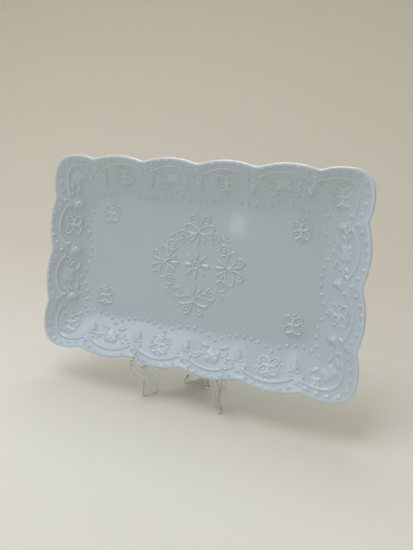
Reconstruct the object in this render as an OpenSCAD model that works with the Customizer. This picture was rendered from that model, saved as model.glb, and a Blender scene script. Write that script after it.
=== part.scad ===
// China serving platter, rectangular with a scalloped rim, standing on a
// two-leaf folding easel. All sizes in millimetres, +Z up, the face looks
// towards -Y, the feet stand on Z = 0.

/* [Platter] */
// Overall width of the platter, across the tips of its lobes
platter_width = 305; // [240:1:380]
// Overall height of the platter face, across the tips of its lobes
platter_height = 191; // [150:1:240]
// How far a lobe on the long sides bulges past its valleys
long_lobe_rise = 5.0; // [2:0.5:8]
// How far a lobe on the short sides bulges past its valleys
short_lobe_rise = 5.0; // [2:0.5:8]
// Half width of a corner lobe
corner_lobe_r = 25.2; // [20:0.2:30]
// How far a corner lobe bulges past the valleys beside it
corner_lobe_rise = 3.7; // [2:0.1:5]
// Squareness of a corner lobe: 2 is a circle, more is squarer
corner_lobe_shape = 2.8; // [2:0.1:4]
// Distance of the last valley on a long side from the side's end
corner_run_long = 39.0; // [28:1:50]
// Distance of the last valley on a short side from the side's end
corner_run_short = 38.0; // [26:1:46]
// Depth of the flat well below the rim
well_depth = 18.3; // [10:0.5:26]
// Distance from the rim's valleys to the edge of the flat well
rim_slope_width = 33; // [24:1:40]
// Wall thickness of the fired china
wall = 4.4; // [3:0.2:7]
// Height of the foot ring under the well
foot_height = 3.0; // [1.5:0.5:6]
// Width of the foot ring
foot_width = 4.5; // [3:0.5:8]
// Height of the moulded pattern above the china
relief_height = 1.0; // [0.5:0.1:1.6]

/* [Easel] */
// How far the platter leans back from upright, in degrees
lean = 13; // [6:1:20]
// Half of the angle between the two open leaves, in degrees
half_opening = 36; // [30:1:40]
// Height of the ledge the platter stands on
ledge_height = 30; // [24:1:38]
// Distance from the hinge axis to the front of a hook
leaf_length = 73.8; // [60:0.2:88]
// Height of a whole leaf
leaf_height = 84; // [76:1:96]
// Thickness of the clear leaf
leaf_thickness = 3.0; // [2:0.2:4]
// Height of the hook's lip above the ledge
lip_rise = 17; // [12:1:22]
// Sideways position of the easel under the platter
easel_shift = 1.5; // [-8:0.5:8]

/* [Hinge] */
// Radius of the hinge pin
pin_r = 1.6; // [1.2:0.1:2]
// Outer radius of a hinge knuckle
knuckle_r = 3.6; // [3:0.1:4.4]
// Length of each hinge knuckle
knuckle_length = 15.6; // [10:0.2:16]

/* [Clearances] */
// Running clearance between the pin and a knuckle, on the radius
pin_clearance = 0.05; // [0.02:0.01:0.1]
// Gap between parts that move past each other
move_gap = 0.4; // [0.3:0.1:0.8]

/* [Hidden] */
// Facets of the round parts
$fn = 48;
// Steps along each lobe of the rim
lobe_steps = 8;
// Half sizes of the face, measured to the valleys
half_w = platter_width / 2 - short_lobe_rise;
half_h = platter_height / 2 - long_lobe_rise;
// Spacing of the valleys along a long side
lobe_pitch = (half_w - corner_run_long) / 2;
// Height of the last valley on a short side
side_valley = half_h - corner_run_short;
// Corner radius and half sizes of the flat well
well_corner = 26;
well_w = half_w - rim_slope_width - 1;
well_h = half_h - rim_slope_width;
// Places of the flower sprigs in the corners of the well
sprig_x = well_w - 20;
sprig_y = well_h - 17;
// Radius of the medallion in the middle of the well
medallion_r = 48;
// Total depth of the china behind the rim
back_depth = well_depth + wall + foot_height;
// Centre of the rim plane above the table
rim_z = ledge_height + move_gap
    + platter_height / 2 * cos(lean) + wall * 0.62 * sin(lean);
// Back of the foot ring, measured along the ground at ledge height
foot_back = back_depth / cos(lean)
    + (ledge_height - rim_z) * tan(lean);
// Hook front, hinge axis and leaf frame, before the whole is centred
leaf_gap = 0.25;
hook_front = -platter_height / 2 * sin(lean) - 9.8;
hinge_back = hook_front + leaf_length * cos(half_opening)
    - (leaf_thickness / 2 + leaf_gap) * sin(half_opening);
// Front reach and back reach, used to centre the whole on the origin
front_reach = hinge_back - leaf_length * cos(half_opening)
    + leaf_gap * sin(half_opening);
back_reach = (well_h + (platter_height / 2 - well_h) * 0.03)
    * sin(lean) + back_depth * cos(lean);
centre_y = -(front_reach + back_reach) / 2;
hinge_y = hinge_back + centre_y;
// Slope of the upright's front edge inside the plane of its leaf
rest_slope = tan(lean) / cos(half_opening);
rest_r = (hinge_back + leaf_gap * sin(half_opening) - foot_back
    - move_gap / cos(lean)) / cos(half_opening);
// Clear way round the other leaf's knuckles
rear_edge = knuckle_r + 0.8;
// Top of the upright, which stays wide enough to stand behind the foot ring
upright_top = min(leaf_height, ledge_height + 3
    + (rest_r - rear_edge - 5.5) / rest_slope);
// Underside of the lowest knuckle, and the length that fits on the upright
knuckle_base = 8;
knuckle_run = min(knuckle_length,
    (upright_top - 5 - knuckle_base) / 4 - move_gap);
knuckle_step = knuckle_run + move_gap;

// Points on an arc that bulges to the left of the way from p to q
function arc_points(p, q, rise, steps) =
    let (d = q - p,
        chord = norm(d),
        radius = (chord * chord / 4 + rise * rise) / (2 * rise),
        turn = atan2(d[1], d[0]),
        sweep = 4 * atan2(2 * rise, chord),
        middle = (p + q) / 2
            + (radius - rise) * [sin(turn), -cos(turn)])
    [for (i = [0:steps - 1])
        let (a = turn + 90 + sweep / 2 - sweep * i / steps)
        middle + radius * [cos(a), sin(a)]];

// Points round a corner lobe from p to q, clockwise, on a squared circle
function corner_points(p, q, steps) =
    let (reach = corner_lobe_rise - corner_lobe_r,
        middle = [sign(p[0]) * (half_w + reach),
            sign(p[1]) * (half_h + reach)],
        a = atan2(p[1] - middle[1], p[0] - middle[0]),
        b = atan2(q[1] - middle[1], q[0] - middle[0]),
        sweep = (a - b + 360) % 360,
        k = corner_lobe_shape)
    [for (i = [0:steps - 1])
        let (t = a - sweep * i / steps,
            r = corner_lobe_r / pow(pow(abs(cos(t)), k)
                + pow(abs(sin(t)), k), 1 / k))
        (i == 0) ? p : middle + r * [cos(t), sin(t)]];

// The valleys of the rim, clockwise from the top left
valleys = [
    [-2 * lobe_pitch, half_h], [-lobe_pitch, half_h], [0, half_h],
    [lobe_pitch, half_h], [2 * lobe_pitch, half_h],
    [half_w, side_valley], [half_w, 0], [half_w, -side_valley],
    [2 * lobe_pitch, -half_h], [lobe_pitch, -half_h], [0, -half_h],
    [-lobe_pitch, -half_h], [-2 * lobe_pitch, -half_h],
    [-half_w, -side_valley], [-half_w, 0], [-half_w, side_valley]
];

// The outline of the rim: one lobe starts at each valley
function lobe(i) =
    let (p = valleys[i], q = valleys[(i + 1) % 16])
    (i == 4 || i == 7 || i == 12 || i == 15) ?
        corner_points(p, q, lobe_steps + 4) :
    (i < 4 || (i > 7 && i < 12)) ?
        arc_points(p, q, long_lobe_rise, lobe_steps) :
        arc_points(p, q, short_lobe_rise, lobe_steps);
rim_line = [for (i = [0:15]) each lobe(i)];
count = len(rim_line);

// The nearest point to p on the rounded rectangle of the well
function limit(v, top) = max(-top, min(top, v));
function well_point(p) =
    let (c = [limit(p[0], well_w - well_corner),
            limit(p[1], well_h - well_corner)],
        d = p - c)
    c + d * well_corner / norm(d);
well_line = [for (p = rim_line) well_point(p)];

// One ring of the china: t runs from the well's edge to the rim, and
// grow moves the ring outwards by that many millimetres
function ring(t, z, grow) = [for (i = [0:count - 1])
    let (d = rim_line[i] - well_line[i],
        p = well_line[i] + d * (t + grow / norm(d)))
    [p[0], p[1], z]];

// Share of the depth that the sloping wall has risen at t: an easy curve
// out of the well, then an almost straight flare up to the border
wall_rise = [[0, 0], [0.1, 0.05], [0.2, 0.145], [0.3, 0.255],
    [0.4, 0.365], [0.5, 0.475], [0.6, 0.585], [0.7, 0.695],
    [0.8, 0.8], [0.9, 0.905], [1, 1]];

// Height of the sloping wall's face at t
function slope_z(t) = -well_depth * (1 - lookup(t, wall_rise));

// Share of the slope that the outer wall of the foot ring takes
foot_t = 0.03;

// Rings from the middle of the face, over the edge, to the back
ring_list = [
    [0, -well_depth, 0],
    [0.1, slope_z(0.1), 0],
    [0.2, slope_z(0.2), 0],
    [0.3, slope_z(0.3), 0],
    [0.42, slope_z(0.42), 0],
    [0.56, slope_z(0.56), 0],
    [0.7, slope_z(0.7), 0],
    [0.8, slope_z(0.8), 0],
    [0.9, slope_z(0.9), 0],
    [0.95, slope_z(0.95), 0],
    [0.98, 0, 0],
    [1.0, -0.7, 0],
    [1.0, -wall * 0.62, 0],
    [0.98, -wall * 0.94, 0],
    [0.86, slope_z(0.86) - wall, 0],
    [0.7, slope_z(0.7) - wall, 0],
    [0.52, slope_z(0.52) - wall, 0],
    [0.34, slope_z(0.34) - wall, 0],
    [0.18, slope_z(0.18) - wall, 0],
    [foot_t + 0.05, -well_depth - wall, 0],
    [foot_t, -back_depth, 0],
    [foot_t, -back_depth, -foot_width + 0.8],
    [foot_t, -well_depth - wall, -foot_width]
];
rings = len(ring_list);
china_points = [for (r = ring_list) each ring(r[0], r[1], r[2])];
china_faces = concat(
    [[for (i = [0:count - 1]) i]],
    [for (k = [0:rings - 2]) for (i = [0:count - 1])
        [k * count + (i + 1) % count, k * count + i,
        (k + 1) * count + i]],
    [for (k = [0:rings - 2]) for (i = [0:count - 1])
        [k * count + (i + 1) % count, (k + 1) * count + i,
        (k + 1) * count + (i + 1) % count]],
    [[for (i = [0:count - 1])
        rings * count - 1 - i]]
);

// A raised ring of round section lying on the floor of the well
module raised_loop(x, y, radius, section) {
    translate([x, y, -well_depth])
        rotate_extrude()
            translate([radius, 0])
                circle(r = section, $fn = 16);
}

// A leaf-shaped raised drop on the floor of the well
module raised_drop(x, y, turn, length, width) {
    translate([x, y, -well_depth])
        rotate([0, 0, turn])
            linear_extrude(height = relief_height * 1.6, center = true)
                polygon([[0, 0], [length * 0.35, width / 2],
                    [length * 0.7, width * 0.45], [length, 0],
                    [length * 0.7, -width * 0.45],
                    [length * 0.35, -width / 2]]);
}

// One bow of the medallion: two loops, two curled feelers, three rays
module medallion_bow() {
    bow_y = medallion_r * 0.67;
    for (s = [-1, 1]) {
        raised_loop(s * 8, bow_y, 4.6, relief_height * 0.8);
        raised_loop(s * 7, bow_y + 11, 2.2, relief_height * 0.7);
        raised_drop(s * 1.6, bow_y - 5, -90 + s * 32, 9, 2.6);
    }
    raised_drop(0, bow_y - 4, -90, 12, 2.4);
    raised_drop(0, bow_y + 3, 90, 8, 2.2);
}

// Pair of facing scrolls between two bows
module medallion_scrolls() {
    for (s = [-1, 1])
        rotate([0, 0, 45 + s * 11])
            raised_loop(medallion_r * 0.63, 0, 3.6, relief_height * 0.8);
    rotate([0, 0, 45])
        raised_drop(medallion_r * 0.72, 0, 0, 6, 4);
}

// The row of beads round the floor of the well
module bead_row() {
    for (i = [0:2:count - 1]) {
        d = rim_line[i] - well_line[i];
        p = well_line[i] - 3 * d / norm(d);
        translate([p[0], p[1], -well_depth])
            sphere(r = relief_height * 1.5, $fn = 24);
    }
}

// A four-leaved sprig in a corner of the well
module sprig(x, y) {
    for (a = [45:90:315])
        raised_drop(x + 1.6 * cos(a), y + 1.6 * sin(a), a, 10, 6);
}

// The china in its own frame: face towards +Z, width along X
module china() {
    polyhedron(points = china_points, faces = china_faces, convexity = 6);
    for (a = [0:45:315])
        raised_drop(6 * cos(a), 6 * sin(a), a, 9, 3.6);
    raised_loop(0, 0, 3.2, relief_height * 0.8);
    bead_row();
    for (a = [0:90:270])
        rotate([0, 0, a]) {
            medallion_bow();
            medallion_scrolls();
        }
    for (sx = [-1, 1])
        for (sy = [-1, 1])
            sprig(sx * sprig_x, sy * sprig_y);
}

module platter() {
    color([0.80, 0.84, 0.86])
        translate([0, centre_y, rim_z])
            rotate([90 - lean, 0, 0])
                china();
}

// Side view of a leaf: x is the distance from the hinge axis, y is up
module leaf_outline() {
    front = leaf_length;
    neck = front - 24;
    difference() {
        polygon([
            [rear_edge + 1.4, 0], [rear_edge + 4.6, 0],
            [rear_edge + 5.6, 1.4], [rear_edge + 8.2, 1.4],
            [rear_edge + 9.2, 0], [rear_edge + 13.4, 0],
            [rear_edge + 14.4, 1.6], [rear_edge + 12.4, 5],
            [rear_edge + 9.6, 9], [rear_edge + 8.8, 14],
            [rear_edge + 10.8, ledge_height - 8.2],
            [rear_edge + 15.6, ledge_height - 6.2],
            [rear_edge + 20, ledge_height - 5.8],
            [neck, ledge_height - 12.8], [neck - 2.2, 3],
            [neck - 3, 1.4], [neck - 2.2, 0],
            [neck + 3.2, 0], [neck + 4, 1.4],
            [neck + 6.6, 1.4], [neck + 7.4, 0],
            [neck + 12.2, 0], [neck + 13, 1.4],
            [neck + 11.2, ledge_height - 11.6],
            [front - 11.6, ledge_height - 10],
            [front, ledge_height + 0.6],
            [front, ledge_height + lip_rise - 8.6],
            [front - 6.8, ledge_height + lip_rise],
            [front - 8.2, ledge_height + lip_rise - 0.6],
            [front - 7.8, ledge_height + 4],
            [front - 11.8, ledge_height],
            [rest_r, ledge_height],
            [rest_r - rest_slope * (upright_top - ledge_height - 3),
                upright_top - 3],
            [rest_r - 2.6 - rest_slope * (upright_top - ledge_height - 3),
                upright_top],
            [rear_edge + 1.5, upright_top],
            [rear_edge, upright_top - 1.5],
            [rear_edge, 6], [rear_edge + 0.6, 1.6]
        ]);
        translate([front - 11.8, ledge_height + 4])
            circle(r = 4);
    }
}

// One leaf in its own frame: hinge axis on Z, leaf running along +X.
// side = 1 sets the plate on the +Y side of the axis, -1 on the -Y side
module leaf(side, first) {
    bore_r = pin_r + pin_clearance;
    plate_y = (side > 0) ? leaf_gap : -leaf_gap - leaf_thickness;
    difference() {
        union() {
            translate([0, plate_y + leaf_thickness, 0])
                rotate([90, 0, 0])
                    linear_extrude(height = leaf_thickness)
                        leaf_outline();
            for (k = [first, first + 2])
                translate([0, 0, knuckle_base + k * knuckle_step]) {
                    cylinder(r = knuckle_r, h = knuckle_run);
                    translate([0, plate_y, 0])
                        cube([rear_edge + 2, leaf_thickness, knuckle_run]);
                }
        }
        for (k = [first, first + 2])
            translate([0, 0, knuckle_base + k * knuckle_step - 1])
                cylinder(r = bore_r, h = knuckle_run + 2);
    }
}

module left_leaf() {
    color([0.86, 0.90, 0.92, 0.4])
        translate([easel_shift, hinge_y, 0])
            rotate([0, 0, -90 - half_opening])
                leaf(-1, 0);
}

module right_leaf() {
    color([0.86, 0.90, 0.92, 0.4])
        translate([easel_shift, hinge_y, 0])
            rotate([0, 0, -90 + half_opening])
                leaf(1, 1);
}

// The pin runs through all four knuckles and has a head at each end
module hinge_pin() {
    pin_low = knuckle_base - move_gap;
    pin_high = knuckle_base + 4 * knuckle_step;
    color([0.82, 0.86, 0.88, 0.4])
        translate([easel_shift, hinge_y, 0]) {
            translate([0, 0, pin_low - 1.4])
                cylinder(r = pin_r, h = pin_high - pin_low + 2.8);
            translate([0, 0, pin_low - 1.6])
                cylinder(r = pin_r + 1, h = 1.6);
            translate([0, 0, pin_high])
                cylinder(r = pin_r + 1, h = 1.6);
        }
}

platter();
left_leaf();
right_leaf();
hinge_pin();
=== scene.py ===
# %% [markdown]
# # A scalloped china platter on a clear folding easel
# The platter is one piece of glazed porcelain with a moulded lace pattern,
# and it leans on an easel of two clear plastic leaves joined by a hinge pin.
# The CAD gives the sizes and the joints. This lesson builds the looks: the
# fine relief of the china, its glaze, the rounded edges of the plastic, and
# a soft studio round them.

# %% Load the frame
import bmesh
import bpy
import math
import numpy as np
from mathutils import Matrix, Vector


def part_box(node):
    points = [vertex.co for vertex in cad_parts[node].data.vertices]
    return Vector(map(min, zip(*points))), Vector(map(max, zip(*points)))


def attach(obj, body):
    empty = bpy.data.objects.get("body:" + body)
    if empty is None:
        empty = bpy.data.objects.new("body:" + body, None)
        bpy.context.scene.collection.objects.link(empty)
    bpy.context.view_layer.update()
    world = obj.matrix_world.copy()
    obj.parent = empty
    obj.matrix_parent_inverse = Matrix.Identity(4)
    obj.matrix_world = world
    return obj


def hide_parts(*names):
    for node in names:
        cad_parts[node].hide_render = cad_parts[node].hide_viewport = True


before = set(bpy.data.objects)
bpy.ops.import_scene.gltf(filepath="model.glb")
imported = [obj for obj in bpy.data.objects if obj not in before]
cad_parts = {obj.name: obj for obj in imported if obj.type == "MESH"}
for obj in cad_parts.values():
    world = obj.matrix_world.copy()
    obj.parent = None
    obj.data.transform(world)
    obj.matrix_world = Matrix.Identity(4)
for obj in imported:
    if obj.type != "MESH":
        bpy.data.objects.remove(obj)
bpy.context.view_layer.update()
MM = 0.001

# %% [markdown]
# ## The place of the china
# The platter is easier to build lying flat, with its face up and its rim at
# height zero, and then to lean back. Its place in the frame comes from the
# box of the CAD node, so the looks always stand where the CAD stands. Two
# small sizes help: how far the CAD's outermost edge lies under the rim, and
# how far its foot reaches beyond the well.

# %% Sizes of the china
LEAN = math.radians(13)
HALF_LENGTH, HALF_HEIGHT = 152.5, 95.5
LOBE_RISE = 5.0
VALLEY_W, VALLEY_H = HALF_LENGTH - LOBE_RISE, HALF_HEIGHT - LOBE_RISE
LOBE_PITCH = 54.25
SIDE_VALLEY = 52.5
WELL_W, WELL_H, WELL_CORNER = 113.5, 57.5, 26.0
WELL_DEPTH, WALL, FOOT = 18.3, 4.4, 3.0
EDGE_DROP, FOOT_OUT = 0.7, 1.14
plate_low, plate_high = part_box("platter")
RIM_Z = plate_high.z / MM - HALF_HEIGHT * math.cos(LEAN) \
    + EDGE_DROP * math.sin(LEAN)
RIM_Y = plate_high.y / MM - (WELL_DEPTH + WALL + FOOT) * math.cos(LEAN) \
    - (WELL_H + FOOT_OUT) * math.sin(LEAN)
lean_back = Matrix.Translation((0, RIM_Y * MM, RIM_Z * MM)) \
    @ Matrix.Rotation(math.pi / 2 - LEAN, 4, "X") @ Matrix.Scale(MM, 4)
print("rim centre", round(RIM_Y, 2), round(RIM_Z, 2))

# %% [markdown]
# ## Shader maths as plain expressions
# A material is a graph of nodes. Writing the graph by hand hides the idea,
# so a small class wraps a node's output and understands + and *, on either
# side of a number. Everything else is one method, add, that takes the kind
# of node, its settings and its inputs. Colours go through a Mix node,
# because a Math node would turn them grey.

# %% A small language for materials
class Wire:
    """An output of a node that can stand in a formula."""

    def __init__(self, finish, socket):
        self.finish, self.socket = finish, socket

    def math(self, how, *values):
        return self.finish.add("ShaderNodeMath", {"operation": how},
                               dict(enumerate(values)))

    def __add__(self, other):
        return self.math("ADD", self, other)

    def __radd__(self, other):
        return self.math("ADD", other, self)

    def __mul__(self, other):
        return self.math("MULTIPLY", self, other)

    def __rmul__(self, other):
        return self.math("MULTIPLY", other, self)

    def clamped(self, low=0.0, high=1.0):
        return self.math("MINIMUM", self.math("MAXIMUM", self, low), high)


class Finish:
    """A material and the nodes that make it."""

    def __init__(self, name):
        self.material = bpy.data.materials.new(name)
        self.material.use_nodes = True
        self.tree = self.material.node_tree
        self.tree.nodes.clear()

    def add(self, kind, settings=None, inputs=None, out=0):
        """Makes a node, sets it up, feeds it and returns one output."""
        node = self.tree.nodes.new(kind)
        for name, value in (settings or {}).items():
            setattr(node, name, value)
        for name, value in (inputs or {}).items():
            if isinstance(value, Wire):
                self.tree.links.new(value.socket, node.inputs[name])
            else:
                node.inputs[name].default_value = value
        return Wire(self, node.outputs[out])

    def blend(self, factor, first, second):
        """Mixes two colours."""
        node = self.tree.nodes.new("ShaderNodeMix")
        node.data_type = "RGBA"
        for index, value in ((0, factor), (6, first), (7, second)):
            if isinstance(value, Wire):
                self.tree.links.new(value.socket, node.inputs[index])
            elif index:
                node.inputs[index].default_value = (*value, 1)
            else:
                node.inputs[index].default_value = value
        return Wire(self, node.outputs[2])

    def where(self):
        """Where a point lies on its own object, in metres."""
        return self.add("ShaderNodeTexCoord", out=3)

    def noise(self, place, scale, detail=2.0, roughness=0.5):
        return self.add("ShaderNodeTexNoise", {}, {
            "Vector": place, "Scale": scale, "Detail": detail,
            "Roughness": roughness})

    def bump(self, height, distance, strength=1.0):
        return self.add("ShaderNodeBump", {}, {
            "Height": height, "Distance": distance, "Strength": strength})

    def surface(self, **sockets):
        """Ends the graph in one shader, with sockets named as it names them."""
        names = {k.replace("_", " "): v for k, v in sockets.items()}
        shader = self.add("ShaderNodeBsdfPrincipled", {}, names)
        end = self.tree.nodes.new("ShaderNodeOutputMaterial")
        self.tree.links.new(shader.socket, end.inputs["Surface"])
        return self.material


print("materials are written as formulas")

# %% [markdown]
# ## The camera
# It looks slightly down on the platter from the right. The lens is a wide
# one, held close, so the near end of the platter looks larger than the far
# end. A little shift frames the platter above the middle of the picture: a
# shift moves the frame and leaves the perspective as it is.

# %% Place the camera
LENS, SENSOR = 22.30996, 24.0
SHIFT = (0.0032327, -0.0831982)
EYE = (0.17628, -0.394404, 0.264226)
TURN_LEFT, DIP = math.radians(22.313), math.radians(13.933)
camera_data = bpy.data.cameras.new("camera")
camera = bpy.data.objects.new("camera", camera_data)
bpy.context.scene.collection.objects.link(camera)
bpy.context.scene.camera = camera
camera_data.sensor_fit = "VERTICAL"
camera_data.sensor_height, camera_data.lens = SENSOR, LENS
camera_data.shift_x, camera_data.shift_y = SHIFT
camera.location = EYE
look = Vector((-math.sin(TURN_LEFT) * math.cos(DIP),
               math.cos(TURN_LEFT) * math.cos(DIP), -math.sin(DIP)))
camera.rotation_euler = look.to_track_quat("-Z", "Y").to_euler()
print("lens", round(camera_data.lens, 2), "mm")

# %% [markdown]
# ## The studio
# The floor runs back and curves up into the wall, like a roll of paper, so
# no line shows behind the platter. The curve is a profile swept sideways.
# The paper's colour darkens towards the back as painted shade, in place of the
# light falling off there, and a faint cloud keeps it from looking like a flat
# colour.

# %% Floor and wall in one sheet
def in_scene(name, bm):
    """An object in the scene from a finished bmesh."""
    mesh = bpy.data.meshes.new(name)
    bm.to_mesh(mesh)
    bm.free()
    made = bpy.data.objects.new(name, mesh)
    bpy.context.scene.collection.objects.link(made)
    return made


def sweep(profile, half_width, name):
    """A sheet made by moving a line of (y, z) points along X."""
    bm = bmesh.new()
    sides = [[bm.verts.new((x, y, z)) for y, z in profile]
             for x in (-half_width, half_width)]
    for k in range(len(profile) - 1):
        bm.faces.new((sides[0][k], sides[1][k],
                      sides[1][k + 1], sides[0][k + 1]))
    sheet = in_scene(name, bm)
    sheet.data.shade_smooth()
    return sheet


FLOOR_FRONT, WALL_Y, WALL_TOP, COVE_R = -3.0, 0.62, 1.1, 0.5
STUDIO_HALF = 4.0
# the far colour is the paper in painted shade
NEAR_PAPER, FAR_PAPER_SHADE = (0.76, 0.735, 0.68), (0.62, 0.578, 0.495)
cove = [(y, 0.0) for y in (FLOOR_FRONT, FLOOR_FRONT / 2, -0.5, 0.0)]
cove += [(WALL_Y - COVE_R * (1 - math.sin(a)), COVE_R * (1 - math.cos(a)))
         for a in np.linspace(0, math.pi / 2, 40)]
cove += [(WALL_Y, 0.8), (WALL_Y, WALL_TOP)]
studio = sweep(cove, STUDIO_HALF, "studio_sheet")

paper = Finish("studio_paper")
spot = paper.where()
grain = paper.noise(spot, 3.0)
far_back = paper.add("ShaderNodeSeparateXYZ", {}, {"Vector": spot}, out=1)
# painted shade: the paper's colour darkens towards the back in place of light
# falling off
painted_back_shade = (far_back * 2.2 + 0.3).clamped()
studio.data.materials.append(paper.surface(
    Base_Color=paper.blend((painted_back_shade + grain * 0.1).clamped(),
                           NEAR_PAPER, FAR_PAPER_SHADE),
    Roughness=0.9))
print("studio sheet", len(studio.data.polygons), "faces")

# %% [markdown]
# ## The light
# A large soft window lies overhead, a little to the left. It lights the
# floor and the top edge most and leaves the upright face in soft shade, so
# the relief reads. A weaker window in front on the left puts a sheen on the
# platter's lower wall. A small far window shows only as a faint gleam in
# the glaze, and a warm world adds an even glow.

# %% Lamps and world
def soft_box(name, place, aim, size, power, colour):
    """A lamp shaped as a window, at a place and aimed at a point."""
    lamp = bpy.data.lights.new(name, "AREA")
    lamp.shape = "RECTANGLE"
    lamp.size, lamp.size_y = size
    lamp.energy, lamp.color = power, colour
    box = bpy.data.objects.new(name, lamp)
    bpy.context.scene.collection.objects.link(box)
    box.location = place
    box.rotation_euler = (Vector(aim) - Vector(place)) \
        .to_track_quat("-Z", "Y").to_euler()


soft_box("window", (-0.35, 0.22, 1.9), (-0.2, 0.2, 0.0), (2.0, 1.0), 25,
         (0.84, 0.90, 1.0))
soft_box("side_window", (-1.4, -1.1, 1.8), (0, 0, 0.1), (1.5, 0.9), 5.5,
         (0.84, 0.93, 1.0))
soft_box("far_window", (-0.62, -1.96, 0.58), (0, 0, 0.14), (0.075, 0.10),
         0.10, (0.9, 0.97, 1.0))
world = bpy.data.worlds.new("studio_world")
bpy.context.scene.world = world
world.use_nodes = True
glow = world.node_tree.nodes["Background"].inputs
glow["Color"].default_value = (1.0, 0.93, 0.77, 1)
glow["Strength"].default_value = 0.445
bpy.context.scene.view_settings.view_transform = "Standard"
print("lamps are lit")

# %% [markdown]
# ## The outline of the rim
# Sixteen lobes run round the rim: four on each long side, two on each short
# side and one round each corner. A side lobe is a flat arc between two
# valleys, and a corner lobe is part of a squared circle, so a few sizes
# draw the whole line. The left and lower valleys mirror the others.

# %% Draw the scalloped line
def arc_between(p, q, rise, steps):
    """Points on an arc from p towards q that bulges to the left."""
    along = q - p
    chord = np.hypot(*along)
    radius = (chord * chord / 4 + rise * rise) / (2 * rise)
    heading = math.atan2(along[1], along[0])
    opening = 4 * math.atan2(2 * rise, chord)
    middle = (p + q) / 2 + (radius - rise) * np.array(
        [math.sin(heading), -math.cos(heading)])
    a = heading + math.pi / 2 + opening / 2 \
        - opening * np.arange(steps) / steps
    return middle + radius * np.stack([np.cos(a), np.sin(a)], 1)


CORNER_SIZE, CORNER_RISE, CORNER_POWER = 25.2, 3.7, 2.8


def corner_lobe(p, q, steps):
    """Points on a squared circle from p towards q, clockwise."""
    inset = CORNER_RISE - CORNER_SIZE
    middle = np.array([math.copysign(VALLEY_W + inset, p[0]),
                       math.copysign(VALLEY_H + inset, p[1])])
    start = math.atan2(*(p - middle)[::-1])
    turn = (start - math.atan2(*(q - middle)[::-1])) % (2 * math.pi)
    a = start - turn * np.arange(steps) / steps
    r = CORNER_SIZE / (abs(np.cos(a)) ** CORNER_POWER
                       + abs(np.sin(a)) ** CORNER_POWER) ** (1 / CORNER_POWER)
    return middle + r[:, None] * np.stack([np.cos(a), np.sin(a)], 1)


top_valleys = [(k * LOBE_PITCH, VALLEY_H) for k in (-2, -1, 0, 1, 2)]
right_valleys = [(VALLEY_W, y) for y in (SIDE_VALLEY, 0, -SIDE_VALLEY)]
valleys = np.array(top_valleys + right_valleys)
valleys = np.concatenate([valleys, -valleys])
CORNERS = (4, 7, 12, 15)
line = []
for k in range(len(valleys)):
    p, q = valleys[k], valleys[(k + 1) % len(valleys)]
    line.append(corner_lobe(p, q, 220) if k in CORNERS
                else arc_between(p, q, LOBE_RISE, 200))
line = np.concatenate(line)
print(len(valleys), "lobes")

# %% [markdown]
# ## Round the valleys
# The points are first spread evenly along the line, so that each counts the
# same, and then each becomes a weighted mean of its neighbours. The mean
# rounds the sharp valleys most and hardly moves the lobes. Last, the line is
# held inside the size that the CAD gives the rim.

# %% Smooth the scalloped line
def resample(points, count):
    """Evenly spaced points round a closed line."""
    loop = np.vstack([points, points[:1]])
    run = np.concatenate([[0], np.cumsum(np.hypot(*np.diff(loop, axis=0).T))])
    s = np.linspace(0, run[-1], count, endpoint=False)
    return np.stack([np.interp(s, run, loop[:, i]) for i in (0, 1)], 1)


RIM_POINTS, SOFTNESS = 3000, 8
outline = resample(line, RIM_POINTS)
reach = np.arange(-3 * SOFTNESS, 3 * SOFTNESS + 1)
weights = np.exp(-(reach / SOFTNESS) ** 2 / 2)
outline = sum(w * np.roll(outline, k, axis=0)
              for k, w in zip(reach, weights)) / weights.sum()
outline *= np.minimum(1, [HALF_LENGTH, HALF_HEIGHT] / abs(outline).max(0))
print("rim line", (outline.max(0) - outline.min(0)).round(2), "mm")

# %% [markdown]
# ## The grid of the well
# A relief this fine needs small, even faces. The flat well is one patch of
# quads stretched between four curves (a Coons patch), and each point of its
# edge sends one column of faces outwards to the rim, so the whole face is a
# single sheet with no seam.

# %% Points of the well
ARC_STEP, SIDE_STEP = 0.42, 0.56


def spin(degrees):
    """What turns rows of points anticlockwise: points @ spin(degrees)."""
    c, s = math.cos(math.radians(degrees)), math.sin(math.radians(degrees))
    return np.array([[c, s], [-s, c]])


def well_side(half_run, centre_run, turn):
    """One side of the well between the middles of two corner arcs."""
    arcs = int(WELL_CORNER * math.pi / 4 / ARC_STEP)
    flats = int(2 * half_run / SIDE_STEP)
    a = np.linspace(math.pi * 3 / 4, math.pi / 2, arcs, endpoint=False)
    bend = np.stack([-half_run + WELL_CORNER * np.cos(a),
                     centre_run + WELL_CORNER * np.sin(a)], 1)
    x = np.linspace(-half_run, half_run, flats + 1)
    flat = np.stack([x, np.full_like(x, centre_run + WELL_CORNER)], 1)
    side = np.concatenate([bend, flat, bend[::-1] * (-1, 1)])
    return side @ spin(turn)


flat_w, flat_h = WELL_W - WELL_CORNER, WELL_H - WELL_CORNER
north = well_side(flat_w, flat_h, 0)
east = well_side(flat_h, flat_w, -90)
south, west = -north, -east
across, down = len(north), len(east)
u = np.linspace(0, 1, across)[:, None, None]
v = np.linspace(0, 1, down)[None, :, None]
low_side, high_side = south[::-1][:, None], north[:, None]
left_side, right_side = west[None, :], east[::-1][None, :]
patch = (1 - v) * low_side + v * high_side \
    + (1 - u) * left_side + u * right_side \
    - ((1 - u) * (1 - v) * low_side[:1] + u * (1 - v) * low_side[-1:]
       + (1 - u) * v * high_side[:1] + u * v * high_side[-1:])
print("well grid", patch.shape[:2])

# %% [markdown]
# ## Columns from the well to the rim
# Each point on the well's edge looks straight outwards and meets the rim
# line somewhere. The distance is the length of that column.

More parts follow.
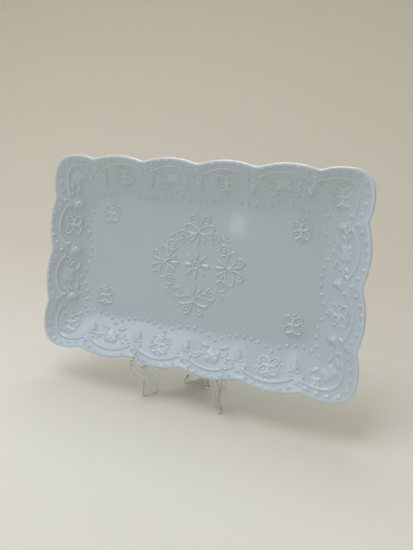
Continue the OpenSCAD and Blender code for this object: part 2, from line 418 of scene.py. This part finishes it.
# %% Find where each column meets the rim
ring_ids = np.concatenate([
    np.arange(across) * down + down - 1,
    (across - 1) * down + np.arange(down - 2, -1, -1),
    np.arange(across - 2, -1, -1) * down,
    np.arange(1, down - 1)])
well_line = patch.reshape(-1, 2)[ring_ids]
arc_centre = np.clip(well_line, [-flat_w, -flat_h], [flat_w, flat_h])
outward = well_line - arc_centre
outward /= np.hypot(*outward.T)[:, None]


def column_lengths(start, direction, line):
    """How far each ray goes before it crosses the closed line."""
    rel = line[None] - start[:, None]
    side = direction[:, None, 0] * rel[..., 1] \
        - direction[:, None, 1] * rel[..., 0]
    ahead = (rel * direction[:, None]).sum(-1)
    nxt, nxt_ahead = np.roll(side, -1, 1), np.roll(ahead, -1, 1)
    crossing = (side * nxt <= 0) & (ahead > 0) & (nxt_ahead > 0)
    k = crossing.argmax(1)
    i = np.arange(len(start))
    share = side[i, k] / (side[i, k] - nxt[i, k])
    return ahead[i, k] * (1 - share) + nxt_ahead[i, k] * share


length = column_lengths(well_line, outward, outline)
print(len(length), "columns,", length.min().round(1), "to",
      length.max().round(1), "mm long")

# %% [markdown]
# ## The section of the dish
# From the well the wall eases upwards into an almost straight flare and ends
# in a rounded lip. One short formula gives the height. It starts level, so
# no crease shows at the edge of the well.

# %% Heights along a column
EASE = 0.2


def wall_height(t):
    """Height of the face at t, from the well's edge to the lip."""
    return -WELL_DEPTH * (1 - (1 + EASE) * t * t / (t + EASE))


print("wall heights", wall_height(np.array([.25, .5, .75])).round(1))

# %% [markdown]
# ## Rows round the section
# A row is one closed ring of points: how far each lies out from the well,
# and how high. Rows run up the face, round the lip, down the back one body
# lower and round the foot ring, so the skin closes with even quads. A
# lathe could not do this, because the columns differ in length.

# %% List the rows
LIP, FACE_ROWS, NOSE_ROWS = 1.95, 62, 12
LIP_SWELL, SWELL_START, SWELL_RUN = 0.25, 0.93, 0.05
FOOT_Z = -WELL_DEPTH - WALL - FOOT
FOOT_SHARE = 0.03
BACK_STEPS = (.93, .86, .78, .70, .61, .52, .43, .34, .26, .18, .1)
FOOT_SECTION = ((0.7, 2.3), (0.25, 0.9), (0, 0.3), (-0.4, 0), (-3.1, 0),
                (-3.7, .4), (-4.1, 1.4), (-4.6, 2.6), (-5.6, FOOT),
                (-12, FOOT + .1))


def row(distance, height):
    """A ring of points, all at one height."""
    return distance, np.full_like(length, height)


t_face = np.linspace(0, 1, FACE_ROWS + 1)[1:]
inner = length - LIP
swell = LIP_SWELL * np.clip((t_face - SWELL_START) / SWELL_RUN, 0, 1)
rows = [row(inner * t, min(0, wall_height(t) + up))
        for t, up in zip(t_face, swell)]
rows += [row(inner + LIP * math.sin(a), LIP * (math.cos(a) - 1))
         for a in np.linspace(0, math.pi, NOSE_ROWS + 1)[1:]]
rows += [row(inner * t, wall_height(t) - WALL) for t in BACK_STEPS]
rows += [row(FOOT_SHARE * length + d, FOOT_Z + z) for d, z in FOOT_SECTION]
print(len(rows), "rows round the section")

# %% [markdown]
# ## Strokes of relief
# The mould maker cuts the pattern as grooves of round section. Here every
# mark is a stroke: a line of points, each with its own half width, and a
# height. A bead is a stroke with one point, a petal a stroke that swells
# and tapers. A motif is a list of strokes: shift() scales and moves it, and
# place() turns it and adds it to the pattern.

# %% The chisel
pattern = []


def stroke(points, width, height):
    """A mark: its points, the half width at each, and its height."""
    points = np.atleast_2d(np.array(points, float))
    return points, np.zeros(len(points)) + width, height


def dot(x, y, radius, height):
    return stroke([(x, y)], radius, height)


def drop(start, angle, size, width, height):
    """A petal or leaf that swells from a point and tapers again."""
    s = np.linspace(0, 1, 9)
    a = math.radians(angle)
    spine = np.array(start) + size * s[:, None] * [math.cos(a), math.sin(a)]
    return stroke(spine, width / 2 * np.sin(np.pi * (0.1 + 0.8 * s ** 1.1))
                  ** 0.8, height)


def leaf_loop(start, angle, size, width, line_width, height):
    """The outline of a leaf with a point at each end."""
    s = np.linspace(0, math.pi, 15)
    spine = np.stack([size * (0.5 - 0.5 * np.cos(s)),
                      width / 2 * np.sin(s) ** 1.1], 1)
    spine = np.concatenate([spine, spine[::-1] * (1, -1)])
    return stroke(spine @ spin(angle) + start, line_width, height)


def curl(x, y, radius, start, turns, line_width, height, shrink):
    """A scroll that winds in; negative turns wind clockwise."""
    s = np.linspace(0, 1, int(10 + 22 * abs(turns)))
    a = math.radians(start) + 2 * math.pi * turns * s
    r = radius * (1 - shrink * s)
    return stroke(np.stack([x + r * np.cos(a), y + r * np.sin(a)], 1),
                  line_width * (1 - 0.25 * s), height)


def shift(motif, x, y, scale=(1, 1)):
    """The motif scaled along X and Y, then moved."""
    return [(points * scale + (x, y), width, height)
            for points, width, height in motif]


def place(motif, turn=0):
    """Adds a motif to the pattern, turned about the platter's middle."""
    for points, width, height in motif:
        pattern.append((points @ spin(turn), width, height))


print("chisel ready")

# %% [markdown]
# ## The medallion
# In the middle of the well a daisy sits inside four bows. Each bow has two
# leaf loops, a fan of rays below and two curled feelers above, and pairs of
# scrolls fill the gaps between the bows. One bow is cut once and turned
# four times.

# %% Cut the medallion
def ring(x, y, wide, high, tilt, line_width, height):
    """An oval line, tilted by some degrees."""
    a = np.linspace(0, 2 * math.pi, 41)
    oval = np.stack([wide * np.cos(a), high * np.sin(a)], 1)
    return stroke(oval @ spin(tilt) + (x, y), line_width, height)


place([ring(0, 0, 3.2, 3.2, 0, 0.9, 1.2), dot(0, 0, 1.5, 1.2)])
for turn in range(0, 360, 45):
    place([drop((4.9, 0), 0, 7.6, 3.7, 1.4)], turn)


def both(motif):
    """A motif and its mirror image."""
    return motif + shift(motif, 0, 0, (-1, 1))


bow = both([
    ring(7.7, 32.6, 7.4, 3.9, 17, 1.0, 1.15),
    stroke([(0.7, 33.0), (1.5, 37.5), (2.6, 41.4), (4.4, 44.4), (6.8, 45.5),
            (9.2, 44.4), (9.9, 42.2), (8.9, 40.2)], 0.95, 1.3),
    dot(6.5, 41.6, 1.7, 1.1),
    stroke([(3.4, 36.4), (6.0, 38.3), (8.6, 38.6)], [0.5, 0.8, 0.5], 0.8),
    drop((2.0, 28.4), -56, 9.4, 2.9, 1.35),
    drop((4.6, 27.8), -28, 7.0, 2.3, 1.2),
]) + [drop((0, 28.4), -90, 10.5, 2.3, 1.35), dot(0, 31.4, 1.7, 1.4)]
scrolls = [curl(16.8, 25.8, 5.9, 250, -1.35, 0.95, 1.1, 0.62),
           curl(25.8, 16.8, 5.9, 200, 1.35, 0.95, 1.1, 0.62),
           dot(16.8, 25.8, 1.5, 1.1), dot(25.8, 16.8, 1.5, 1.1),
           drop((24.6, 24.6), 45, 5.6, 2.2, 0.95),
           drop((25.4, 24.0), 14, 4.6, 1.9, 0.9),
           drop((24.0, 25.4), 76, 4.6, 1.9, 0.9),
           dot(20.6, 20.6, 1.2, 0.9)]
for turn in (0, 90, 180, 270):
    place(bow + scrolls, turn)
print("medallion", len(pattern), "strokes")

# %% [markdown]
# ## Four-leaved sprigs
# The same sprig fills the corners of the well and every second lobe of the
# rim: four double leaves set crosswise, small chevrons above and below, and
# short arcs at the sides. On the sloping wall it lies along the slope, so in
# this flat plan it is cut a little shorter across the wall.

# %% Cut the sprig
sprig = []
for side in (-1, 1):
    for up in (-1, 1):
        heading = math.degrees(math.atan2(up * 0.86, side))
        sprig += [leaf_loop((side * 0.7, up * 0.9), heading, 9.5, 6.3,
                            0.8, 1.05),
                  drop((side * 3.0, up * 2.8), heading, 4.4, 1.4, 0.6)]
    for up in (-1, 1):
        sprig += [stroke([(0, up * 5.6), (side * 2.0, up * 7.2),
                          (side * 4.6, up * 8.9)], [0.95, 0.95, 0.6], 1.3),
                  stroke([(0, up * 8.4), (side * 1.5, up * 9.6),
                          (side * 2.9, up * 10.8)], [0.85, 0.8, 0.5], 1.1),
                  dot(side * 10.5, up * 2.8, 0.85, 0.8)]
    sprig.append(stroke([(side * 8.2, -3.2), (side * 9.3, 0),
                         (side * 8.2, 3.2)], [0.5, 0.8, 0.5], 0.85))
sprig.append(dot(0, 0, 1.4, 1.0))
for side in (-1, 1):
    for up in (-1, 1):
        place(shift(sprig, side * 93, up * 40.3, (0.92, 0.92)))
print("with sprigs", len(pattern), "strokes")

# %% [markdown]
# ## The rim pattern
# Along each lobe runs a garland line that curls in at both ends. Under it
# sits a sprig or a rose, by turns, and a tulip bud closes each valley. The
# rose is four round petals with two sprays of leaves, and the bud is one
# fat stroke over two small sepals.

# %% Cut the rose and the bud
rose = [dot(0, 0.2, 1.6, 1.7), dot(0, -4.2, 2.2, 1.0)]
rose += [stroke([(1.4 * x, 1.1 * y), (3.9 * x, 2.3 * y)], [3.3, 3.6], 1.5)
         for x in (-1, 1) for y in (-1, 1)]
leaves = [drop((8.8, 0.4), 24, 5.2, 2.7, 1.1),
          drop((12.4, 0.8), 78, 4.6, 2.6, 1.1),
          drop((12.8, 0.2), 4, 5.0, 2.5, 1.1),
          drop((11.2, -0.4), -40, 5.0, 2.4, 1.05),
          drop((5.6, 7.8), 20, 7.4, 3.6, 1.35)]
rose += both(leaves)
bud = [stroke([(0, 2.2), (0, 0.9), (0, -0.8), (0, -2.4), (0, -4.0)],
              [3.1, 4.1, 3.3, 1.9, 0.9], 1.9)]
bud += both([stroke([(0.9, 3.6), (2.6, 4.6), (4.3, 4.0)],
                    [0.9, 1.0, 0.6], 1.0)])
print("rose", len(rose), "bud", len(bud), "strokes")

# %% [markdown]
# ## Garlands and beads
# A garland is a shallow arc over one lobe, and each of its ends winds into
# a small scroll round a dot. Beads are spaced evenly along a line by its
# running length, as a bead-maker's wheel would space them.

# %% Garlands and rows of beads
GARLAND_W, GARLAND_HEIGHT = 1.05, 1.25
HOOK_R, BEAD_R, BEAD_HEIGHT = 1.45, 1.75, 1.3


def lobe_arc(centre, half, base, rise):
    """A shallow arc over one lobe: along the side, outward."""
    x = np.linspace(-1, 1, 36)
    return np.stack([centre + half * x, base + rise * (1 - x * x)], 1)


def garland(points):
    """A line of relief with a small scroll turned in at each end."""
    made = [stroke(points, GARLAND_W, GARLAND_HEIGHT)]
    for end, before, hand in ((points[0], points[2], 1),
                              (points[-1], points[-3], -1)):
        onward = end - before
        onward /= np.hypot(*onward)
        inward = np.array([-onward[1], onward[0]]) * hand
        centre = end + inward * HOOK_R
        start = math.degrees(math.atan2(*(end - centre)[::-1]))
        made.append(curl(*centre, HOOK_R, start, -0.55 * hand, 1.0, 1.3, 0.2))
        made.append(dot(*(centre + inward * 1.2 - onward * 0.9), 1.3, 1.4))
    return made


def beads(points, gaps, radius=BEAD_R):
    """Beads between the even gaps of an open line, but not at its ends."""
    run = np.hypot(*np.diff(points, axis=0).T).cumsum()
    run = np.concatenate([[0], run])
    return [dot(np.interp(s, run, points[:, 0]),
                np.interp(s, run, points[:, 1]), radius, BEAD_HEIGHT)
            for s in np.linspace(0, run[-1], gaps + 1)[1:-1]]


print("garlands end in scrolls of radius", HOOK_R, "mm")

# %% [markdown]
# ## The four sides
# A side is cut once, with outward along Y, and turned to its place and to
# the place opposite. The long sides have four lobes and the short sides
# two, so each kind of side has its own few sizes. An arc is given by its
# half length, the place of its ends and its rise. A negative size turns the
# rose over, so that its leaves hang towards the well.

# %% Cut the long and the short sides
LOBE_GAPS = 7
SPRIG_SIZE, ROSE_SIZE = (1.0, 0.80), (1.0, -0.86)
LONG_ARC, LONG_BORDER = (21.7, 82.0, 5.7), (26.0, 85.0, 7.9)
SHORT_ARC, SHORT_BORDER = (20.6, 135.4, 7.2), (24.4, 138.8, 10.4)
SHORT_LOBE, SHORT_VALLEY = 25.2, 48.8


def lobe(turn, arc, border, motif):
    """One lobe: its garland, its border of beads and its motif."""
    place(garland(lobe_arc(*arc)) + beads(lobe_arc(*border), LOBE_GAPS)
          + motif, turn)


def valley(turn, bead_at, bud_at, bud_scale):
    """The bead and the tulip bud that close a valley."""
    place([dot(*bead_at, BEAD_R, BEAD_HEIGHT)]
          + shift(bud, *bud_at, bud_scale), turn)


def long_side(turn):
    """Four lobes and five valleys, drawn in a little from the rim's own."""
    for k in range(4):
        x = (k - 1.5) * LOBE_PITCH * 0.95
        motif = shift(sprig, x, 76.2, SPRIG_SIZE) if k % 2 == 0 \
            else shift(rose, x, 77.4, ROSE_SIZE)
        lobe(turn, (x, *LONG_ARC), (x * 1.01, *LONG_BORDER), motif)
    for k in (-2, -1, 0, 1, 2):
        x = k * LOBE_PITCH
        valley(turn, (0.951 * x, 84.1), (0.915 * x, 72.6), (1, 0.95))


def short_side(turn):
    """Two lobes and three valleys."""
    cut = {-SHORT_LOBE: shift(rose, -SHORT_LOBE, 132.0, ROSE_SIZE),
           SHORT_LOBE: shift(sprig, SHORT_LOBE, 131.0, SPRIG_SIZE)}
    for x, motif in cut.items():
        lobe(turn, (x, *SHORT_ARC), (x, *SHORT_BORDER), motif)
    for x in (-SHORT_VALLEY, 0, SHORT_VALLEY):
        valley(turn, (x, 138.8), (0.94 * x, 126.6), (1.1, 0.85))


for turn in (0, 180):
    long_side(turn)
    short_side(turn + 90)
print("with sides", len(pattern), "strokes")

# %% [markdown]
# ## The corners
# Each corner lobe has a longer garland and border, drawn as one Bezier curve
# each: two end points, and two handles that pull the curve round. Two
# opposite corners carry a sprig and the other two a rose set aslant.

# %% Turn the corners
CORNER_GAPS = 9


def bezier(a, b, c, d):
    """Points on the curve from a to d, pulled by handles b and c."""
    s = np.linspace(0, 1, 40)[:, None]
    a, b, c, d = (np.array(p, float) for p in (a, b, c, d))
    return (1 - s) ** 3 * a + 3 * s * (1 - s) ** 2 * b \
        + 3 * s * s * (1 - s) * c + s ** 3 * d


corner_arc = bezier((105.2, 81.8), (131, 91), (145, 82), (135.4, 54.0))
corner_border = bezier((103.2, 84.1), (138, 97), (155, 89), (138.8, 48.8))
aslant_rose = [(points @ spin(45), width, height) for points, width, height
               in shift(rose, 0, 0, (0.95, -0.9))]
for turn in (0, 180):
    for flip in (1, -1):
        place(garland((corner_arc * (flip, 1))[::flip])
              + beads(corner_border * (flip, 1), CORNER_GAPS), turn)
    place(shift(sprig, 125.5, 70.6, (1.0, 0.95)), turn)
    place(shift(aslant_rose, -127.4, 72.6), turn)
print("with corners", len(pattern), "strokes")

# %% [markdown]
# ## The beads round the well
# A second string of beads swings round the foot of the wall in brackets
# that meet in points. Half of the points are listed, and the other half are
# opposite them.

# %% String the inner beads
INNER_BEAD_R, INNER_PITCH, FULL_BULGE, FULL_SPAN = 1.6, 6.9, 7.6, 48
half_loop = np.array([
    (-24.9, 65.2), (24.9, 65.2), (77.2, 65.6), (117.7, 61.8),
    (120.8, 25.3), (120.8, -25.3), (117.7, -61.8), (77.2, -65.6)])
inner_loop = np.concatenate([half_loop, -half_loop])
for a, b in zip(inner_loop, np.roll(inner_loop, -1, 0)):
    span = np.hypot(*(b - a))
    bulge = FULL_BULGE * min(1.0, span / FULL_SPAN)
    swing = arc_between(b, a, bulge, 40)
    swing = np.vstack([swing, a])
    place([dot(*b, INNER_BEAD_R, BEAD_HEIGHT)]
          + beads(swing, max(4, round(span / INNER_PITCH)), INNER_BEAD_R))
print("all", len(pattern), "strokes")

# %% [markdown]
# ## Raise the relief
# A displacement texture would blur marks this small, so the height is worked
# out at every point of the mesh. Each point takes the highest of the strokes
# near it. The crown of a stroke is round and its foot is eased, as glaze leaves
# it. Fine strokes also get a crest value, partly thin glaze and partly painted
# highlight, that lightens the glaze colour on their crowns.

# %% Measure the relief at each point
FOOT_EASE, CREST_EASE = 1.1, 1.5
FINE_STROKE, LIP_GLAZE_AND_HIGHLIGHT, LIP_ROWS = 0.9, 0.9, 10


def relief_at(points):
    """Height of the relief, and the thin glaze and painted highlight on its
    crests.
    """
    height, crest_glaze_and_highlight = np.zeros(len(points)), np.zeros(len(points))
    order = np.argsort(points[:, 0])
    xs = points[order, 0]
    for spine, width, top_height in pattern:
        pad = width.max()
        lo, hi = spine.min(0) - pad, spine.max(0) + pad
        ids = order[np.searchsorted(xs, lo[0]):np.searchsorted(xs, hi[0])]
        ids = ids[(points[ids, 1] > lo[1]) & (points[ids, 1] < hi[1])]
        if not len(ids):
            continue
        p = points[ids]
        if len(spine) == 1:
            r = np.hypot(*(p - spine[0]).T) / width[0]
        else:
            a, d = spine[:-1], np.diff(spine, axis=0)
            rel = p[:, None] - a
            s = np.clip((rel * d).sum(-1) / ((d * d).sum(-1) + 1e-9), 0, 1)
            gap = np.hypot(*np.moveaxis(rel - s[..., None] * d, -1, 0))
            w = width[:-1] * (1 - s) + width[1:] * s
            r = (gap / np.maximum(w, 0.05)).min(1)
        r = np.clip(r, 0, 1)
        crown = 1 - r * r
        height[ids] = np.maximum(height[ids], top_height * crown ** FOOT_EASE)
        # painted highlight, partly thin glaze: fine strokes get lighter crowns
        glaze_and_highlight_share = min(1.0, FINE_STROKE / width.mean())
        crest_glaze_and_highlight[ids] = np.maximum(crest_glaze_and_highlight[ids], glaze_and_highlight_share * crown ** CREST_EASE)
    return height, crest_glaze_and_highlight


plan = [patch.reshape(-1, 2)]
depth = [np.full(across * down, -WELL_DEPTH)]
for distance, z in rows:
    plan.append(well_line + outward * distance[:, None])
    depth.append(z)
plan, depth = np.concatenate(plan), np.concatenate(depth)
face_count = across * down + FACE_ROWS * len(length)
relief, crest_glaze_and_highlight = np.zeros(len(plan)), np.zeros(len(plan))
relief[:face_count], crest_glaze_and_highlight[:face_count] = relief_at(plan[:face_count])
# painted highlight, partly thin glaze: the lip's rows are marked for a lighter
# colour
lip_start = across * down + (FACE_ROWS - 2) * len(length)
crest_glaze_and_highlight[lip_start:lip_start + LIP_ROWS * len(length)] = LIP_GLAZE_AND_HIGHLIGHT
print("highest mark", relief.max().round(2), "mm")

# %% [markdown]
# ## Make the china mesh
# The quads of the well, the columns of the wall, the lip, the back and the
# foot ring join into one closed skin. The middle of the back is one flat
# face inside the foot ring.

# %% Join the faces
grid = np.arange(across * down).reshape(across, down)
quads = [np.stack([grid[:-1, :-1], grid[1:, :-1], grid[1:, 1:],
                   grid[:-1, 1:]], -1).reshape(-1, 4)]
rings = [ring_ids] + [across * down + len(length) * k
                      + np.arange(len(length)) for k in range(len(rows))]
for inside, outside in zip(rings[:-1], rings[1:]):
    quads.append(np.stack([inside, np.roll(inside, -1),
                           np.roll(outside, -1), outside], -1))
quads = np.concatenate(quads)
points = np.concatenate([plan, depth[:, None]], 1)

china_mesh = bpy.data.meshes.new("platter_china")
china_mesh.from_pydata(points.tolist(), [],
                       quads.tolist() + [rings[-1].tolist()])
china_mesh.shade_smooth()
china_mesh.update()
normals = np.zeros(len(points) * 3)
china_mesh.vertices.foreach_get("normal", normals)
normals = normals.reshape(-1, 3)
print("quads", len(quads), "face normal",
      normals[:face_count, 2].mean().round(2))

# %% [markdown]
# ## Push out the relief
# Each point of the face moves out along its own normal, so a bead on the
# sloping wall stands square to the wall. Nothing may stand above the rim, and
# the thin glaze and painted highlight of the crests and lip are kept on the
# mesh as an attribute that the glaze can read. Then the platter leans back into
# its place on the easel.

# %% Push out the relief and lean the platter back
points[:face_count] += normals[:face_count] * relief[:face_count, None]
points[:, 2] = points[:, 2].clip(max=0)
china_mesh.vertices.foreach_set("co", points.ravel())
# the stored mark is thin glaze and painted highlight, read by the glaze colour
marks = china_mesh.attributes.new("thin_glaze_and_highlight", "FLOAT", "POINT")
marks.data.foreach_set("value", crest_glaze_and_highlight.astype(np.float32))
china_mesh.transform(lean_back)
china_mesh.update()
platter = bpy.data.objects.new("platter_china", china_mesh)
bpy.context.scene.collection.objects.link(platter)
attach(platter, "platter_body")
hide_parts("platter")
print("china mesh", len(china_mesh.polygons), "faces")

# %% [markdown]
# ## The glaze
# Glazed porcelain is a white body under a tinted glass. The colour is nearly
# even and a little cloudy from the kiln. On the crests of the relief and on the
# lip the colour is lightened, partly for the thin glaze there and partly as a
# painted highlight. The glass is smooth but never flat: a very soft ripple
# bends reflections. A coat on top gives the sharp part of the shine.

# %% Glaze the china
DEEP_GLAZE, PALE_GLAZE = (0.51, 0.605, 0.70), (0.56, 0.65, 0.735)
# the lighter colour of crests and lip: partly thin glaze, partly painted
# highlight
THIN_GLAZE_AND_HIGHLIGHT = (0.74, 0.82, 0.89)
glaze = Finish("glazed_porcelain")
spot = glaze.where()
glaze_and_highlight_share = glaze.add("ShaderNodeAttribute", {"attribute_name": "thin_glaze_and_highlight"},
                 out=2)
cloud = glaze.noise(spot, 14.0, 3.0, 0.55)
ripple = glaze.noise(spot, 90.0)
body = glaze.blend((cloud * 0.6 + 0.2).clamped(), DEEP_GLAZE, PALE_GLAZE)
platter.data.materials.append(glaze.surface(
    # painted highlight, partly thin glaze: crests and lip blend to the lighter
    # colour
    Base_Color=glaze.blend(glaze_and_highlight_share * 0.55, body, THIN_GLAZE_AND_HIGHLIGHT),
    Roughness=0.18 + 0.08 * cloud,
    Normal=glaze.bump(ripple, 0.00035, 0.35),
    Coat_Weight=0.4, Coat_Roughness=0.06, Specular_IOR_Level=0.5))
print("glaze done")

# %% [markdown]
# ## The leaves of the easel
# Each leaf is one flat moulding: a ledge with a hook in front, two feet, an
# arch between them, an upright behind, and two knuckles on the hinge axis.
# The upright leans by the slope of the platter's back, seen along a leaf
# that stands half the opening angle off the axis, so the back rests on it.

# %% Sizes of the easel
HALF_OPENING = math.radians(36)
LEDGE, LIP_RISE, LEAF_LENGTH, LEAF_TOP = 30.0, 17.0, 73.8, 84.0
LEAF_T, LEAF_GAP, GAP = 3.0, 0.25, 0.4
PIN_R, KNUCKLE_R, BORE_R, REAR = 1.6, 3.6, 1.65, 4.4
KNUCKLE_LOW, KNUCKLE_RUN, KNUCKLE_STEP = 8.0, 15.6, 16.0
pin_low, pin_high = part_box("hinge_pin")
AXIS_X = (pin_low.x + pin_high.x) / 2 / MM
AXIS_Y = (pin_low.y + pin_high.y) / 2 / MM
foot_back = (WELL_DEPTH + WALL + FOOT) / math.cos(LEAN) \
    + (LEDGE - RIM_Z) * math.tan(LEAN)
rest = (AXIS_Y - RIM_Y + LEAF_GAP * math.sin(HALF_OPENING) - foot_back
        - GAP / math.cos(LEAN)) / math.cos(HALF_OPENING)
slope = math.tan(LEAN) / math.cos(HALF_OPENING)
print("axis", round(AXIS_X, 2), round(AXIS_Y, 2), "rest", round(rest, 2))

# %% [markdown]
# ## The outline of a leaf
# The line starts at the rear foot and runs forwards along the bottom, up the
# front, back along the ledge and down behind. Each foot has a small notch
# underneath, so that it stands on two pads. The corner where the platter
# sits, behind the hook, is an arc.

# %% Draw the leaf
NEAR_FOOT, SEAT_R = LEAF_LENGTH - 24, 4.0


def leaf_line():
    """The outline of a leaf: along it, and up."""
    r, f, n, h = REAR, LEAF_LENGTH, NEAR_FOOT, LEDGE
    up = rest - slope * (LEAF_TOP - h - 3)
    rear_foot = [(r + 1.4, 0), (r + 4.6, 0), (r + 5.6, 1.4), (r + 8.2, 1.4),
                 (r + 9.2, 0), (r + 13.4, 0), (r + 14.4, 1.6)]
    arch = [(r + 12.4, 5), (r + 9.6, 9), (r + 8.8, 14), (r + 10.8, h - 8.2),
            (r + 15.6, h - 6.2), (r + 20, h - 5.8), (n, h - 12.8)]
    front_foot = [(n - 2.2, 3), (n - 3, 1.4), (n - 2.2, 0), (n + 3.2, 0),
                  (n + 4, 1.4), (n + 6.6, 1.4), (n + 7.4, 0), (n + 12.2, 0),
                  (n + 13, 1.4), (n + 11.2, h - 11.6), (f - 11.6, h - 10)]
    hook = [(f, h + 0.6), (f, h + LIP_RISE - 8.6), (f - 6.8, h + LIP_RISE),
            (f - 8.2, h + LIP_RISE - 0.6)]
    seat = [(f - 11.8 + SEAT_R * math.cos(a), h + SEAT_R * (1 + math.sin(a)))
            for a in np.linspace(0, -math.pi / 2, 8)]
    upright = [(rest, h), (up, LEAF_TOP - 3), (up - 2.6, LEAF_TOP),
               (r + 1.5, LEAF_TOP), (r, LEAF_TOP - 1.5), (r, 6),
               (r + 0.6, 1.6)]
    return rear_foot + arch + front_foot + hook + seat + upright


print("leaf outline", len(leaf_line()), "points")

# %% [markdown]
# ## Tools for moulded parts
# Three helpers make each plastic part. plate() pushes an outline out to a
# thickness and rounds its sharp edges as a mould does. turned() sweeps a
# profile round an axis. merge() joins or cuts with the Boolean modifier and
# keeps the result as a plain mesh.

# %% Plates, turned parts and joins
SHARP = math.radians(12)


def plate(name, line, low, high, rounding):
    """A flat piece with this outline between two values of Y."""
    bm = bmesh.new()
    near = [bm.verts.new((x, low, z)) for x, z in line]
    far = [bm.verts.new((x, high, z)) for x, z in line]
    bm.faces.new(near)
    bm.faces.new(far[::-1])
    for k in range(len(line)):
        j = (k + 1) % len(line)
        bm.faces.new((near[j], near[k], far[k], far[j]))
    bmesh.ops.recalc_face_normals(bm, faces=bm.faces)
    edges = [e for e in bm.edges if e.calc_face_angle() > SHARP]
    bmesh.ops.bevel(bm, geom=edges, offset=rounding, segments=3,
                    affect="EDGES", profile=0.5, clamp_overlap=True)
    return in_scene(name, bm)


def turned(name, profile, steps=40):
    """A solid of revolution round Z from (radius, height) points."""
    bm = bmesh.new()
    angles = np.linspace(0, 2 * math.pi, steps, endpoint=False)
    rings = [[bm.verts.new((radius * math.cos(a), radius * math.sin(a), z))
              for a in angles] for radius, z in profile]
    for lower, upper in zip(rings[:-1], rings[1:]):
        for k in range(steps):
            j = (k + 1) % steps
            bm.faces.new((lower[k], lower[j], upper[j], upper[k]))
    bm.faces.new(rings[0][::-1])
    bm.faces.new(rings[-1])
    return in_scene(name, bm)


def merge(base, tool, how):
    """Joins or cuts with another solid and throws the tool away."""
    cut = base.modifiers.new("merge", "BOOLEAN")
    cut.operation, cut.object, cut.solver = how, tool, "EXACT"
    seen = base.evaluated_get(bpy.context.evaluated_depsgraph_get())
    fresh = bpy.data.meshes.new_from_object(seen)
    base.modifiers.clear()
    base.data = fresh
    bpy.data.objects.remove(tool)


print("three helpers for plates, turned parts and joins")

# %% [markdown]
# ## The two leaves
# Each leaf gets two knuckles, and the two leaves' knuckles take turns up the
# axis. A web joins each knuckle to the upright. The bore for the pin is cut
# last, through web and knuckle together, so it comes out clean.

# %% Mould the two leaves
EDGE_ROUND, WEB_ROUND, KNUCKLE_ROUND, SMOOTH_TO = 0.45, 0.3, 0.5, 38
AXIS_PLACE = Matrix.Translation((AXIS_X * MM, AXIS_Y * MM, 0))


def settle(made, turn=0.0):
    """Turns a part about the hinge axis, scales it and shades it."""
    made.data.transform(AXIS_PLACE @ Matrix.Rotation(turn, 4, "Z")
                        @ Matrix.Scale(MM, 4))
    made.data.shade_smooth()
    made.data.set_sharp_from_angle(angle=math.radians(SMOOTH_TO))


def leaf(name, side, first, turn):
    """A leaf on one side of the axis, with knuckles first and first + 2."""
    low = LEAF_GAP if side > 0 else -LEAF_GAP - LEAF_T
    high = low + LEAF_T
    made = plate(name, leaf_line(), low, high, EDGE_ROUND)
    feet = [KNUCKLE_LOW + k * KNUCKLE_STEP for k in (first, first + 2)]
    for z in feet:
        top = z + KNUCKLE_RUN
        web = [(0, z + WEB_ROUND), (REAR + 2, z + WEB_ROUND),
               (REAR + 2, top - WEB_ROUND), (0, top - WEB_ROUND)]
        half = [(KNUCKLE_R - KNUCKLE_ROUND, 0), (KNUCKLE_R - 0.15, 0.15),
                (KNUCKLE_R, KNUCKLE_ROUND)]
        merge(made, plate("web", web, low, high, WEB_ROUND), "UNION")
        merge(made, turned("knuckle", [(r, z + d) for r, d in half]
                           + [(r, top - d) for r, d in half[::-1]]), "UNION")
    for z in feet:
        merge(made, turned("bore", [(BORE_R, z - 1),
                                    (BORE_R, z + KNUCKLE_RUN + 1)]),
              "DIFFERENCE")
    settle(made, turn)
    return made


left_leaf = leaf("left_clear_leaf", -1, 0, -math.pi / 2 - HALF_OPENING)
right_leaf = leaf("right_clear_leaf", 1, 1, -math.pi / 2 + HALF_OPENING)
for piece, body, node in ((left_leaf, "left_body", "left_leaf"),
                          (right_leaf, "right_body", "right_leaf")):
    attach(piece, body)
    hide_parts(node)
    print(piece.name, len(piece.data.polygons), "faces")

# %% [markdown]
# ## The hinge pin
# The pin is turned in one piece with a rounded head at each end, so it
# cannot slide out of the knuckles.

# %% Turn the pin
HEAD_R, HEAD_T = PIN_R + 1.0, 1.6
pin_foot, pin_top = KNUCKLE_LOW - GAP, KNUCKLE_LOW + 4 * KNUCKLE_STEP
head = [(HEAD_R - 0.6, 0), (HEAD_R - 0.2, 0.15), (HEAD_R, 0.55),
        (HEAD_R, HEAD_T - 0.3), (HEAD_R - 0.3, HEAD_T)]
pin = turned("clear_pin",
             [(r, pin_foot - HEAD_T + z) for r, z in head]
             + [(PIN_R, pin_foot), (PIN_R, pin_top)]
             + [(r, pin_top + HEAD_T - z) for r, z in head[::-1]])
settle(pin)
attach(pin, "pin_body")
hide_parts("hinge_pin")
print("pin", len(pin.data.polygons), "faces")

# %% [markdown]
# ## Clear plastic
# The easel is moulded in clear plastic. Light passes through it and bends,
# so the rounded edges show as thin bright and dark lines, and faint flow
# marks from the mould ripple the surface. A little plain see-through keeps
# the edges from going black, as in a thin real moulding.

# %% Mix the plastic
def clear_plastic(name, tint, rough):
    """A see-through finish with flow marks and a slight tint."""
    mix = Finish(name)
    flow = mix.noise(mix.where(), 60.0, 3.0, 0.6)
    return mix.surface(
        Base_Color=mix.blend(flow, tint, (0.97, 0.985, 0.99)),
        Roughness=rough + 0.05 * flow,
        Normal=mix.bump(flow, 0.0004, 0.3),
        Transmission_Weight=1.0, IOR=1.45, Alpha=0.72)


leaf_plastic = clear_plastic("clear_leaf_plastic", (0.90, 0.94, 0.95), 0.03)
pin_plastic = clear_plastic("clear_pin_plastic", (0.86, 0.90, 0.92), 0.05)
for piece, finish in ((left_leaf, leaf_plastic), (right_leaf, leaf_plastic),
                      (pin, pin_plastic)):
    piece.data.materials.clear()
    piece.data.materials.append(finish)
print("plastic done")
